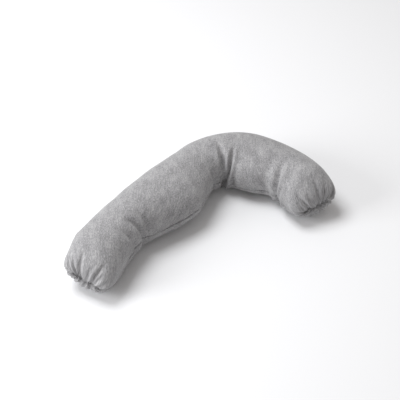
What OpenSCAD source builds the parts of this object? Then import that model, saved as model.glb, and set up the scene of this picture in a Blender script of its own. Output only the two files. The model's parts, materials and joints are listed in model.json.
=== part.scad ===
// Long curved nursing pillow: a stuffed tube with one long arm, a waist and one short arm.
// A two-panel jersey cover with a zip in its outer seam holds a sewn cotton case of
// expanded polystyrene beads. The pillow lies on its side: both arms rest flat, and the
// hollow between them opens towards -Y.

/* [Middle line] */
// Length of the long arm along its middle
long_arm_length = 615; // [560:1:650]
// How far the long arm turns over that length, in degrees
long_arm_turn = 14.7; // [10:0.1:18]
// Length of the waist along its middle
waist_length = 191; // [180:1:230]
// How far the waist turns, in degrees
waist_turn = 66; // [50:1:68]
// Length of the short arm along its middle
short_arm_length = 311; // [280:1:340]
// How far the short arm turns over that length, in degrees
short_arm_turn = 42.8; // [30:0.1:48]
// Direction in which the long arm sets out, in degrees from +X
start_heading = 37.5; // [30:0.5:42]

/* [Section] */
// Width of the tube across its seams
tube_width = 205; // [190:1:220]
// Height of the tube as it lies
tube_height = 175; // [160:1:190]
// Depth by which the pillow's own weight flattens its underside
underside_flat = 4; // [2:0.5:6]
// Squareness of the section, where 2 is an ellipse
squareness = 2.3; // [2:0.1:3]
// Length over which each end tapers down to its seam
end_taper = 88; // [70:1:100]
// Radius of the corners of each end, seen from above
end_corner = 46; // [35:1:60]

/* [Cloth] */
// Thickness of the jersey cover
jersey = 0.7; // [0.6:0.05:0.8]
// Thickness of the cotton case
cotton = 0.3; // [0.2:0.05:0.35]
// Space between layers of cloth
layer_gap = 0.1; // [0.08:0.01:0.12]
// Space between the cotton case and the beads inside it
bead_gap = 0.7; // [0.5:0.1:1]
// Space between the two panels' edges along the sewn seam
seam_gap = 0.5; // [0.45:0.05:0.8]
// Room at the sides for the seam allowances and the zip
side_room = 4.5; // [4.3:0.1:6]
// Depth of the seam allowances
allowance = 8; // [6:1:10]
// Length of the care label along the seam
label_length = 30; // [20:1:40]
// How far the care label hangs below the seam
label_drop = 22; // [15:1:26]

/* [Zip] */
// Length of the closed zip
zip_length = 420; // [300:10:440]
// Width of the closed zip's chain
chain_width = 4.4; // [4:0.1:5]
// Width of the gap between the panels along the zip
zip_gap = 7; // [6.5:0.5:9]
// Width of each zip tape
tape_width = 10; // [8:0.5:10.5]
// Length of the slider
slider_length = 9; // [8:0.5:11]
// Length of the pull tab
pull_length = 24; // [18:1:30]

/* [Waist joint] */
// How far the short arm closes towards the long arm, in degrees
waist_close = 25; // [10:1:30]
// How far the short arm opens, in degrees
waist_open = 30; // [10:1:35]

/* [Hidden] */

// Turns of a half section's points, closer together by the seams.
quarter_turns = [0, 4, 14, 28, 44, 60, 75];
section_turns = concat(quarter_turns, [90],
    [for (i = [len(quarter_turns) - 1:-1:0]) 180 - quarter_turns[i]]);
long_arm_rings = 18;
waist_rings = 12;
short_arm_rings = 9;
$fn = 72;
fit = 0.3;

half_width = tube_width / 2;
// Half widths of the outline at distances along the middle line: the hollow side is
// nipped in before the waist, at it and on the short arm, and both ends are drawn in.
inner_widths = [[0, 100], [60, 99], [120, 87], [190, 76], [250, 70], [320, 94], [400, 122],
    [470, 131], [540, 106], [600, 80], [670, 73], [730, 94], [800, 111], [860, 108],
    [920, 85], [980, 92], [1050, 102], [1117, 100]];
outer_widths = [[0, 78], [40, 90], [80, half_width], [700, half_width], [800, 106],
    [900, 102], [1000, 92], [1070, 86], [1117, 84]];
half_height = (tube_height + underside_flat) / 2;
seam_z = tube_height - half_height;
cotton_outside = jersey + layer_gap;
cotton_inside = cotton_outside + cotton;
fill_side = side_room + cotton + bead_gap;
fill_outside = cotton_inside + bead_gap;

// The middle line is three arcs that all turn to the right, so the outer seam is on the left.
function left_of(heading) = [-sin(heading), cos(heading)];
function radius(length, turn) = length / (turn * PI / 180);

long_radius = radius(long_arm_length, long_arm_turn);
waist_radius = radius(waist_length, waist_turn);
short_radius = radius(short_arm_length, short_arm_turn);
waist_heading = start_heading - long_arm_turn;
short_heading = waist_heading - waist_turn;
waist_end = long_arm_length + waist_length;
middle_length = waist_end + short_arm_length;

function heading_at(s) =
    s < long_arm_length ? start_heading - s / long_arm_length * long_arm_turn
    : s < waist_end ? waist_heading - (s - long_arm_length) / waist_length * waist_turn
    : short_heading - (s - waist_end) / short_arm_length * short_arm_turn;

// The hubs of the three arcs, first with the left end of the middle line at zero.
long_hub_raw = -long_radius * left_of(start_heading);
waist_hub_raw = long_hub_raw + (long_radius - waist_radius) * left_of(waist_heading);
short_hub_raw = waist_hub_raw + (waist_radius - short_radius) * left_of(short_heading);

function place_raw(s, aside) = let (h = heading_at(s))
    s < long_arm_length ? long_hub_raw + (long_radius + aside) * left_of(h)
    : s < waist_end ? waist_hub_raw + (waist_radius + aside) * left_of(h)
    : short_hub_raw + (short_radius + aside) * left_of(h);

// Half the width on one side, at a distance along the middle line and past the start of an
// end's taper, less an inset. The side is 1 for the outer seam and -1 for the inner one.
function side_width(s, past, side, inset) = let (
    taper = end_taper - inset,
    corner = end_corner - inset,
    into = max(0, past - taper + corner))
    lookup(s, side > 0 ? outer_widths : inner_widths) - inset - corner
        + sqrt(max(0, corner * corner - into * into));

function past_taper(s) = max(0, end_taper - s, s - middle_length + end_taper);

// The origin lies under the middle of the outline seen from above.
edge_points = [for (s = [0:middle_length / 200:middle_length], side = [-1, 1])
    place_raw(s, side * side_width(s, past_taper(s), side, 0))];
edge_x = [for (p = edge_points) p.x];
edge_y = [for (p = edge_points) p.y];
middle = [(min(edge_x) + max(edge_x)) / 2, (min(edge_y) + max(edge_y)) / 2];

long_hub = long_hub_raw - middle;
waist_hub = waist_hub_raw - middle;
hinge_heading = waist_heading - waist_turn / 2;
hinge = waist_hub + waist_radius * left_of(hinge_heading);
outer_radius = long_radius + half_width;

// Rings of points that every layer shares: [which end, how far into its taper] at the two
// ends, from 0 to 1, and [0, distance along the middle line] between them.
end_steps = [for (turn = [10:10:90]) sin(turn)];
rings = concat(
    [for (i = [len(end_steps) - 1:-1:0]) [-1, end_steps[i]]],
    [for (i = [0:long_arm_rings - 1])
        [0, end_taper + i * (long_arm_length - end_taper) / long_arm_rings]],
    [for (i = [0:waist_rings - 1]) [0, long_arm_length + i * waist_length / waist_rings]],
    [for (i = [0:short_arm_rings])
        [0, waist_end + i * (short_arm_length - end_taper) / short_arm_rings]],
    [for (step = end_steps) [1, step]]);

// One point of a layer. The turn goes from 0 at the outer seam to 180 at the inner one, up
// is 1 over the top and -1 underneath, and edge is half the gap left at the seam.
function layer_point(ring, turn, up, side_inset, height_inset, edge) = let (
    reach = ring[0] == 0 ? 0 : ring[1] * (end_taper - side_inset),
    s = ring[0] < 0 ? end_taper - reach
        : ring[0] > 0 ? middle_length - end_taper + reach : ring[1],
    taper = ring[0] == 0 ? 1 : pow(1 - pow(ring[1], squareness), 1 / squareness),
    across = sign(cos(turn)) * pow(abs(cos(turn)), 2 / squareness)
        * side_width(s, reach, cos(turn), side_inset),
    rise = (half_height - height_inset) * taper * pow(abs(sin(turn)), 2 / squareness),
    lift = up > 0 ? rise : min(rise, seam_z - height_inset),
    place = place_raw(s, across) - middle)
    [place.x, place.y, seam_z + up * max(edge, lift)];

// The gap between the panels opens along the zip on the outer seam.
function turn_for(length) = length / (outer_radius * PI / 180);
function outer_arc(s) = s * outer_radius / long_radius;
zip_from = (outer_arc(long_arm_length) - zip_length) / 2;
function seam_edge(ring, turn) = let (
    s = ring[0] == 0 ? outer_arc(ring[1]) : 0,
    zip_open = min(1, max(0, min(s - zip_from + 20, zip_from + zip_length + 30 - s) / 20)))
    turn == 0 && s > 0 ? max(seam_gap / 2, zip_open * zip_gap / 2) : seam_gap / 2;

// A panel of cloth between two layers, closed round its edge.
module cloth_panel(up, side_inset, height_inset, cloth, with_zip) {
    columns = len(section_turns);
    last_ring = len(rings) - 1;
    last = columns - 1;
    function edge(ring, turn) = with_zip ? seam_edge(ring, turn) : 0;
    function at(layer, k, j) = (layer * (last_ring + 1) + k) * columns + j;
    points = [for (layer = [0, 1], k = [0:last_ring], turn = section_turns) let (
        ring = rings[up > 0 ? last_ring - k : k])
        layer_point(ring, turn, up, side_inset + layer * cloth, height_inset + layer * cloth,
            edge(ring, turn))];
    quads = concat(
        [for (k = [0:last_ring - 1], j = [0:last - 1])
            [at(0, k, j), at(0, k + 1, j), at(0, k + 1, j + 1), at(0, k, j + 1)]],
        [for (k = [0:last_ring - 1], j = [0:last - 1])
            [at(1, k, j), at(1, k, j + 1), at(1, k + 1, j + 1), at(1, k + 1, j)]],
        [for (k = [0:last_ring - 1])
            [at(0, k + 1, 0), at(0, k, 0), at(1, k, 0), at(1, k + 1, 0)]],
        [for (k = [0:last_ring - 1])
            [at(0, k, last), at(0, k + 1, last), at(1, k + 1, last), at(1, k, last)]],
        [for (j = [0:last - 1]) [at(0, 0, j), at(0, 0, j + 1), at(1, 0, j + 1), at(1, 0, j)]],
        [for (j = [0:last - 1]) [at(0, last_ring, j + 1), at(0, last_ring, j),
            at(1, last_ring, j), at(1, last_ring, j + 1)]]);
    polyhedron(points, [for (q = quads, half = [0, 1])
        half == 0 ? [q[2], q[1], q[0]] : [q[3], q[2], q[0]]]);
}

// The whole filling, before it is parted at the waist.
module filling() {
    loop_turns = concat(section_turns, [for (i = [1:len(section_turns) - 2])
        180 + section_turns[i]]);
    columns = len(loop_turns);
    fill_rings = [for (ring = rings) if (ring[1] != 1) ring];
    last_ring = len(fill_rings) - 1;
    function at(k, j) = k * columns + j % columns;
    points = [for (ring = fill_rings, turn = loop_turns)
        layer_point(ring, turn, turn < 180 ? 1 : -1, fill_side, fill_outside, 0)];
    quads = [for (k = [0:last_ring - 1], j = [0:columns - 1])
        [at(k, j), at(k + 1, j), at(k + 1, j + 1), at(k, j + 1)]];
    polyhedron(points, concat(
        [for (q = quads, half = [0, 1]) half == 0 ? [q[1], q[2], q[3]] : [q[1], q[3], q[0]]],
        [[for (j = [0:columns - 1]) at(0, j)]],
        [[for (j = [columns - 1:-1:0]) at(last_ring, j)]]));
}

// Turns its children, drawn as [distance outwards from the hub, height above the seam],
// along the long arm between two headings.
module long_arc(from_heading, to_heading) {
    translate([long_hub.x, long_hub.y, seam_z]) rotate([0, 0, to_heading + 90])
        rotate_extrude(angle = from_heading - to_heading) children();
}

// A strip about the long arm's hub, given by its depth below the cover's outer face, its
// lowest and highest height above the seam, and its first and last heading.
module seam_strip(outer_depth, inner_depth, low, high, from_heading, to_heading) {
    long_arc(from_heading, to_heading) translate([outer_radius - inner_depth, low])
        square([inner_depth - outer_depth, high - low]);
}

zip_start = start_heading - turn_for(zip_from);
zip_end = zip_start - turn_for(zip_length);

// The outline seen from above, smaller by an inset.
function outline(inset) = concat(
    [for (ring = rings) let (p = layer_point(ring, 0, 1, inset, 0, 0)) [p.x, p.y]],
    [for (k = [len(rings) - 1:-1:0]) let (p = layer_point(rings[k], 180, 1, inset, 0, 0))
        [p.x, p.y]]);

// A band that stands on its edge all the way round, at a depth below the cover's outer face.
module seam_band(outer_depth, inner_depth, low, high) {
    translate([0, 0, seam_z + low]) linear_extrude(high - low) difference() {
        polygon(outline(outer_depth));
        polygon(outline(inner_depth));
    }
}

module cover_top_panel() {
    color("#a9a9ab") cloth_panel(1, 0, 0, jersey, true);
}

module cover_bottom_panel() {
    color("#9b9b9d") cloth_panel(-1, 0, 0, jersey, true);
}

// The panels' edges are turned in, overlocked together and pressed up against the top panel.
allowance_depth = 1.8;
allowance_thickness = 1.2;
allowance_end_gap = 6;

module cover_seam_allowance() {
    color("#8f8f92") difference() {
        seam_band(allowance_depth, allowance_depth + allowance_thickness, 0, allowance);
        seam_strip(-1, side_room, -1, allowance + 1, zip_start + turn_for(allowance_end_gap),
            zip_end - turn_for(tape_overrun + allowance_end_gap));
    }
}

// A satin strip caught in the seam beside the zip, blank on both sides.
label_thickness = 0.4;
label_from_zip = 40;
label_start = zip_end - turn_for(label_from_zip);
label_end = label_start - turn_for(label_length);

module care_label() {
    color("#f2f2ee") {
        seam_strip(-2 * label_thickness, allowance_depth - 0.1, -label_thickness / 2,
            label_thickness / 2, label_start, label_end);
        seam_strip(-2 * label_thickness, -label_thickness, -label_drop, -label_thickness / 2,
            label_start, label_end);
    }
}

// Each half of the zip is a woven tape sewn inside its panel's edge, with a nylon coil.
tape_depth = 1.5;
tape_thickness = 0.5;
tape_overrun = 12;
coil_proud = 0.4;
divider_length = 3;
divider_width = 1.6;
slider_heading = zip_end + turn_for(slider_length / 2);

module zip_tape(side) {
    seam_edge_z = chain_width / 4;
    low = side > 0 ? seam_edge_z : -seam_edge_z - tape_width;
    seam_strip(tape_depth, tape_depth + tape_thickness, low, low + tape_width,
        zip_start + turn_for(2), zip_end - turn_for(tape_overrun));
}

module zip_tape_upper() {
    color("#b4b4b6") zip_tape(1);
}

module zip_tape_lower() {
    color("#b4b4b6") zip_tape(-1);
}

module zip_coil(side) {
    low = side > 0 ? 0 : -chain_width / 2;
    seam_strip(-coil_proud, tape_depth, low, low + chain_width / 2, zip_start - turn_for(3),
        slider_heading);
}

module zip_coil_upper() {
    color("#c4c4c6") zip_coil(1);
}

module zip_coil_lower() {
    color("#c4c4c6") zip_coil(-1);
}

// One stop ends each coil beyond the slider.
module zip_top_stops() {
    stop_start = zip_end - turn_for(4);
    color("#c8cacc") for (side = [-1, 1]) {
        low = side > 0 ? divider_width / 2 : -chain_width / 2;
        seam_strip(-coil_proud, tape_depth, low, low + (chain_width - divider_width) / 2,
            stop_start, stop_start - turn_for(3));
    }
}

module zip_bottom_stop() {
    color("#c8cacc") seam_strip(-coil_proud, tape_depth, -chain_width / 2, chain_width / 2,
        zip_start, zip_start - turn_for(3));
}

// Local frame of the slider: X points along the zip towards its top stops, Y points out of
// the cover and Z is up, with the origin on the cover's outer face at the seam.
module at_slider() {
    place = long_hub + outer_radius * left_of(slider_heading);
    translate([place.x, place.y, seam_z]) rotate([0, 0, slider_heading]) children();
}

slider_width = 7.6;
shoulder = 1;
plate = 0.9;
outer_plate_y = coil_proud + fit;
inner_plate_y = -tape_depth - tape_thickness - fit - plate;
bail_y = outer_plate_y + plate + 1.5;
bail_pin = 1.3;
bail_gap = 4.4;
lug = 1.1;
lug_length = 2.8;

module slider_plate(y) {
    translate([-slider_length / 2, y, -slider_width / 2 + shoulder])
        cube([slider_length, plate, slider_width - 2 * shoulder]);
    translate([-slider_length / 2 + shoulder, y, -slider_width / 2])
        cube([slider_length - 2 * shoulder, plate, slider_width]);
}

module zip_slider() {
    color("#b9bcc0") at_slider() union() {
        slider_plate(outer_plate_y);
        slider_plate(inner_plate_y);
        // The divider joins the two plates and parts the coils.
        translate([fit, inner_plate_y + plate / 2, -divider_width / 2])
            cube([divider_length, outer_plate_y - inner_plate_y, divider_width]);
        // Two lugs carry the pin that the pull turns on.
        for (z = [-bail_gap / 2 - lug, bail_gap / 2])
            translate([-lug_length / 2, outer_plate_y + plate / 2, z])
                cube([lug_length, bail_y - outer_plate_y - plate / 2 + lug, lug]);
        translate([0, bail_y, -bail_gap / 2 - lug / 2])
            cylinder(d = bail_pin, h = bail_gap + lug);
    }
}

// The pull lies back along the closed chain and flips over on its pin.
pull_width = 3.6;
pull_thickness = 1.1;
pull_eye = 2.8;
pull_hole = 1.6;

module zip_pull() {
    color("#b9bcc0") at_slider() translate([0, bail_y, -pull_width / 2]) difference() {
        union() {
            cylinder(d = pull_eye, h = pull_width);
            translate([-pull_length, -pull_thickness / 2, 0])
                cube([pull_length, pull_thickness, pull_width]);
        }
        translate([0, 0, -1]) cylinder(d = bail_pin + 2 * fit, h = pull_width + 2);
        translate([-pull_length + 2 * pull_hole, 0, pull_width / 2]) rotate([90, 0, 0])
            cylinder(d = pull_hole, h = 4 * pull_thickness, center = true);
    }
}

module inner_case_top() {
    color("#f4f1ea") cloth_panel(1, side_room, cotton_outside, cotton, false);
}

module inner_case_bottom() {
    color("#ece8df") cloth_panel(-1, side_room, cotton_outside, cotton, false);
}

// The case's overlocked edge stands out as a narrow rib round its seam.
module inner_case_seam() {
    rib_width = 0.6;
    rib_height = 3;
    color("#e3ded3") seam_band(side_room - rib_width, side_room, -rib_height / 2,
        rib_height / 2);
}

// At the waist the beads are parted by an upright barrel face, with a wedge of room on each
// side of it for the short arm to swing.
barrel_radius = half_width - fill_side + 1;
wedge_room = 1;
far = 900;

module arm_side(sign_x) {
    translate([hinge.x, hinge.y, 0]) rotate([0, 0, hinge_heading])
        linear_extrude(tube_height) polygon([
            [0, 0],
            far * [sign_x * sin(waist_open / 2 + wedge_room), cos(waist_open / 2 + wedge_room)],
            far * [sign_x, 1],
            far * [sign_x, -1],
            far * [sign_x * sin(waist_close / 2 + wedge_room),
                -cos(waist_close / 2 + wedge_room)]]);
}

module waist_barrel(extra) {
    translate([hinge.x, hinge.y, 0]) cylinder(r = barrel_radius + extra, h = tube_height);
}

module bead_fill_left() {
    color("#fbfbf8") intersection() {
        filling();
        union() {
            arm_side(-1);
            waist_barrel(0);
        }
    }
}

module bead_fill_right() {
    color("#f6f6f2") difference() {
        intersection() {
            filling();
            arm_side(1);
        }
        waist_barrel(fit);
    }
}

// Where the joints' axes stand, and the size of the outline seen from above.
echo(hinge = hinge, hinge_heading = hinge_heading, long_hub = long_hub, seam_z = seam_z);
echo(outer_radius = outer_radius, slider_heading = slider_heading, bail_y = bail_y,
    travel = turn_for(zip_length - slider_length));
echo(size = [max(edge_x) - min(edge_x), max(edge_y) - min(edge_y)]);

cover_top_panel();
cover_bottom_panel();
cover_seam_allowance();
care_label();
zip_tape_upper();
zip_tape_lower();
zip_coil_upper();
zip_coil_lower();
zip_top_stops();
zip_bottom_stop();
zip_slider();
zip_pull();
inner_case_top();
inner_case_bottom();
inner_case_seam();
bead_fill_left();
bead_fill_right();
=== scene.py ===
import json
import math

import bmesh
import bpy
import numpy as np
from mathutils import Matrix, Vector
from mathutils.noise import noise


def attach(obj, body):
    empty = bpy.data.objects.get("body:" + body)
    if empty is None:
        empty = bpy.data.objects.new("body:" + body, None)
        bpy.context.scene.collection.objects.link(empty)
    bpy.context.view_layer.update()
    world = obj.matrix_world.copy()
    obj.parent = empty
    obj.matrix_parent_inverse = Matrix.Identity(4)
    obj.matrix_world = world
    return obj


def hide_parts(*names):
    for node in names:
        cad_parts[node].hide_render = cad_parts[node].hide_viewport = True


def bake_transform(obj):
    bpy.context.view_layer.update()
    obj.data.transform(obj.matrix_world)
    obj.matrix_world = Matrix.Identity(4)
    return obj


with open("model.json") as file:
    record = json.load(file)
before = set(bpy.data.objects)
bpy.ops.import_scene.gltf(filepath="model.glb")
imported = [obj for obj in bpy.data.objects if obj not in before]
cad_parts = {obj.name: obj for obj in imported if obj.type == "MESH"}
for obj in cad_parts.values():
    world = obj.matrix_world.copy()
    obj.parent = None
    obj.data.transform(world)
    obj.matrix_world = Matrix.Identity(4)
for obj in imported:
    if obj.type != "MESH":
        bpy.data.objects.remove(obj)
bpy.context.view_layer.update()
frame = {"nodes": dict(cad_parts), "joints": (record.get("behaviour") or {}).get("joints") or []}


# Camera: above the hollow side of the pillow and well back from it, so that the two arms
# keep nearly their plan shape.
CAMERA_AZIMUTH = math.radians(-23.2)
CAMERA_ELEVATION = math.radians(43.0)
CAMERA_DISTANCE = 3.2
CAMERA_AIM = Vector((0.021, -0.029, 0.100))

camera_back = Vector((
    math.sin(CAMERA_AZIMUTH) * math.cos(CAMERA_ELEVATION),
    -math.cos(CAMERA_AZIMUTH) * math.cos(CAMERA_ELEVATION),
    math.sin(CAMERA_ELEVATION),
))


def placed(name, data):
    """A new object with this data, in the scene."""
    thing = bpy.data.objects.new(name, data)
    bpy.context.collection.objects.link(thing)
    return thing


camera = placed("camera", bpy.data.cameras.new("camera"))
camera.data.lens = 86.4
camera.data.clip_end = 100.0
camera.location = CAMERA_AIM + CAMERA_DISTANCE * camera_back
camera.rotation_mode = "QUATERNION"
camera.rotation_quaternion = (-camera_back).to_track_quat("-Z", "Y")
bpy.context.scene.camera = camera


# Floor and backdrop: one wide sheet of matt white paper under an even white sky, with a
# large key light high behind the pillow's left shoulder and a weak one low at its left.
def principled(name):
    material = bpy.data.materials.new(name)
    material.use_nodes = True
    return material, material.node_tree, material.node_tree.nodes["Principled BSDF"]


FLOOR_HALF = 30.0
floor_mesh = bpy.data.meshes.new("floor")
floor_mesh.from_pydata(
    [(-FLOOR_HALF, -FLOOR_HALF, 0), (FLOOR_HALF, -FLOOR_HALF, 0),
     (FLOOR_HALF, FLOOR_HALF, 0), (-FLOOR_HALF, FLOOR_HALF, 0)], [], [(0, 1, 2, 3)])
floor = placed("floor", floor_mesh)
paper, _, paper_shader = principled("white_paper")
paper_shader.inputs["Base Color"].default_value = (0.795, 0.80, 0.815, 1)
paper_shader.inputs["Roughness"].default_value = 0.9
paper_shader.inputs["Specular IOR Level"].default_value = 0.1
floor_mesh.materials.append(paper)

world = bpy.data.worlds.new("studio")
world.use_nodes = True
world.node_tree.nodes["Background"].inputs["Color"].default_value = (1.0, 0.965, 0.935, 1)
world.node_tree.nodes["Background"].inputs["Strength"].default_value = 0.46
bpy.context.scene.world = world
bpy.context.scene.view_settings.view_transform = "Standard"

LAMP_COLOUR = (0.98, 0.99, 1.0)


def area_light(name, location, aim, size, watts):
    lamp = bpy.data.lights.new(name, "AREA")
    lamp.shape = "DISK"
    lamp.size = size
    lamp.energy = watts
    lamp.color = LAMP_COLOUR
    obj = placed(name, lamp)
    obj.location = location
    obj.rotation_mode = "QUATERNION"
    obj.rotation_quaternion = (Vector(aim) - Vector(location)).to_track_quat("-Z", "Y")


area_light("key", (-1.2, 1.2, 4.3), (0, 0, 0), 2.6, 158)
area_light("side", (-3.2, 0.3, 1.5), (0, 0, 0.1), 2.0, 85)


# Cover: two panels of grey melange jersey sewn together all round, folded at the bent waist
# and gathered at the ends. They are drawn as one skin, relaxed as cloth over the pressure
# of the beads, and parted along the seam.
LONG_ARM = (0.615, math.radians(14.7))
WAIST = (0.191, math.radians(66.0))
SHORT_ARM = (0.311, math.radians(42.8))
START_HEADING = math.radians(37.5)
HALF_WIDTH = 0.1025
HALF_HEIGHT = 0.0895
SEAM_Z = 0.0855
SECTION_POWER = 2.15
END_CORNER = 0.046
END_TAPER_TOP = 0.088
END_TAPER_UNDER = 0.100
END_TUCK = 0.006
END_TUCK_REACH = 0.06
CLOTH_STEP = 0.006
SMOOTHING = 0.045
ZIP_STRAIGHT_FROM = 0.10
END_FALL_POWER = 0.6
RESTING_HEIGHT = 0.002
FLOOR_CLEARANCE = 0.0005
HOLLOW_SIDE = [
    (0, 0.100), (0.06, 0.099), (0.12, 0.087), (0.19, 0.076), (0.25, 0.068), (0.32, 0.094),
    (0.40, 0.122), (0.47, 0.131), (0.54, 0.106), (0.60, 0.080), (0.67, 0.073), (0.73, 0.094),
    (0.80, 0.111), (0.86, 0.108), (0.92, 0.083), (0.98, 0.092), (1.05, 0.102), (1.117, 0.100)]
BACK_SIDE = [
    (0, 0.072), (0.05, 0.083), (0.10, HALF_WIDTH), (0.70, HALF_WIDTH), (0.80, 0.106),
    (0.90, 0.101), (1.0, 0.089), (1.07, 0.078), (1.117, 0.070)]
CROWN = [
    (0, 0.96), (0.12, 0.95), (0.22, 1.0), (0.33, 1.05), (0.45, 1.03), (0.60, 0.94),
    (0.70, 0.98), (0.80, 1.03), (0.92, 0.97), (1.0, 1.0), (1.117, 1.0)]
SEAM_DROOP = [
    (0, 18), (0.06, 16), (0.12, 11), (0.21, 3), (0.30, 12), (0.37, 7), (0.45, 4), (0.53, 2),
    (0.62, 12), (0.75, 24), (0.90, 20), (1.02, 17), (1.117, 16)]

joints = {joint["name"]: joint for joint in frame["joints"]}
hinge = Vector(joints["waist_bend"]["pos_m"])
hub = joints["zip_travel"]["pos_m"]
MIDDLE_LENGTH = LONG_ARM[0] + WAIST[0] + SHORT_ARM[0]
rows = int(round(MIDDLE_LENGTH / CLOTH_STEP))
columns = 50
along = np.linspace(0, MIDDLE_LENGTH, rows + 1)
from_end = np.minimum(along, MIDDLE_LENGTH - along)


def heading_at(s):
    """Direction of the middle line, in radians, at distances along it."""
    turned = np.interp(
        s, np.cumsum([0, LONG_ARM[0], WAIST[0], SHORT_ARM[0]]),
        -np.cumsum([0, LONG_ARM[1], WAIST[1], SHORT_ARM[1]]))
    return START_HEADING + turned


def walk(heading):
    """Points of a line that has these headings from row to row."""
    middle = (heading[1:] + heading[:-1]) / 2
    step = MIDDLE_LENGTH / rows
    return np.vstack([[0, 0], np.cumsum(
        np.c_[np.cos(middle), np.sin(middle)] * step, axis=0)])


def profile(points):
    """A smooth run of values through a few chosen ones, one value for each row."""
    reach = int(round(SMOOTHING / CLOTH_STEP / 2))
    window = np.hanning(2 * reach + 3)[1:-1]
    values = np.pad(np.interp(along, *zip(*points)), reach, mode="reflect", reflect_type="odd")
    return np.convolve(values, window / window.sum(), mode="valid")


def section(turn):
    """Width and height of the section, as shares of its halves, at turns from the back seam."""
    power = 2 / SECTION_POWER
    return (np.sign(np.cos(turn)) * np.abs(np.cos(turn)) ** power,
            np.sign(np.sin(turn)) * np.abs(np.sin(turn)) ** power)


def even_turns():
    """Turns over half a section that divide its skin evenly."""
    fine = np.linspace(0, math.pi, 2001)
    across, rise = section(fine)
    length = np.r_[0, np.cumsum(np.hypot(
        np.diff(across) * HALF_WIDTH, np.diff(rise) * HALF_HEIGHT))]
    return np.interp(np.linspace(0, length[-1], columns + 1), length, fine)


def taper(length):
    """How much of its height the tube has kept at each row, near the ends."""
    into = np.clip(1 - from_end / length, 0, 1)
    return (1 - into ** SECTION_POWER) ** (1 / SECTION_POWER)


headings = heading_at(along)
line = walk(headings)
waist_middle = LONG_ARM[0] + WAIST[0] / 2
line += np.array(hinge[:2]) - [np.interp(waist_middle, along, line[:, i]) for i in (0, 1)]
tuck = END_TUCK * np.clip(1 - from_end / END_TUCK_REACH, 0, 1) ** 2
tuck = np.where(along < MIDDLE_LENGTH / 2, tuck, -tuck)
line += np.c_[np.cos(headings), np.sin(headings)] * tuck[:, None]
into_corner = np.maximum(0, END_CORNER - from_end)
corner_loss = END_CORNER - np.sqrt(np.maximum(0, END_CORNER ** 2 - into_corner ** 2))
back_width = profile(BACK_SIDE)
zip_rows = (along > ZIP_STRAIGHT_FROM) & (along < LONG_ARM[0])
back_width[zip_rows] = HALF_WIDTH
back_width -= corner_loss
hollow_width = profile(HOLLOW_SIDE) - corner_loss
crown = profile(CROWN)
droop = np.radians(profile(SEAM_DROOP))
share = np.linspace(0, 1, columns + 1)


def skin(up, centre=line, direction=headings):
    """Grid of points of the upper or lower panel, from the back seam to the hollow one."""
    over = even_turns()[None, :] * (math.pi + up * droop[:, None]) / math.pi
    across, rise = section(over)
    high = HALF_HEIGHT * crown * taper(END_TAPER_TOP)
    low = HALF_HEIGHT * taper(END_TAPER_UNDER)
    y = across * np.where(across > 0, back_width[:, None], hollow_width[:, None])
    z = up * rise * np.where(up * rise > 0, high[:, None], low[:, None])
    closed = 1 - taper(END_TAPER_TOP)
    z -= HALF_HEIGHT * (closed * np.sin(droop))[:, None] * share[None, :] ** END_FALL_POWER
    aside = np.c_[-np.sin(direction), np.cos(direction)]
    plan = centre[:, None, :] + aside[:, None, :] * y[:, :, None]
    return np.dstack([plan, np.maximum(SEAM_Z + z, FLOOR_CLEARANCE)])


FOLDS = [
    # share of the girth where it dies out, place there, place at the seam, depth, half width
    (0.38, 0.693, 0.679, 0.015, 0.0075),
    (0.44, 0.757, 0.690, 0.016, 0.0055),
    (0.74, 0.590, 0.606, 0.006, 0.0070),
    (0.72, 0.655, 0.650, 0.006, 0.0050),
    (0.76, 0.745, 0.738, 0.006, 0.0060),
    (0.50, 0.952, 0.978, 0.015, 0.0095),
    (0.74, 1.010, 1.000, 0.005, 0.0060),
    (0.52, 0.203, 0.243, 0.011, 0.0095),
    (0.58, 0.158, 0.190, 0.006, 0.0080),
    (0.60, 0.262, 0.262, 0.006, 0.0080),
]
FOLD_RIDGE = 0.30
RIDGE_PLACE = 2.3
RIDGE_WIDTH = 1.3
FOLD_RUN_IN = 0.55
FOLD_EASE = 0.3
FOLD_HOLD = 0.55
UNDER_FOLD = 0.45
LEFT_GATHERS = [0.07, 0.20, 0.33, 0.45, 0.57, 0.67, 0.76, 0.86, 0.95]
RIGHT_GATHERS = [0.12, 0.24, 0.38, 0.50, 0.61, 0.72, 0.83, 0.93]
GATHER_DEPTH = 0.0085
GATHER_WIDTH = 0.0055
GATHER_REACH = 0.038
GATHER_LIFT = 0.25
GATHER_HOLD = 0.8
LEAST_GIRTH = 0.12
LEAST_HOLD = 0.02
LUMP = 0.0016
LUMP_SIZE = 0.075


def smooth_step(value):
    value = np.clip(value, 0, 1)
    return value * value * (3 - 2 * value)


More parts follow.
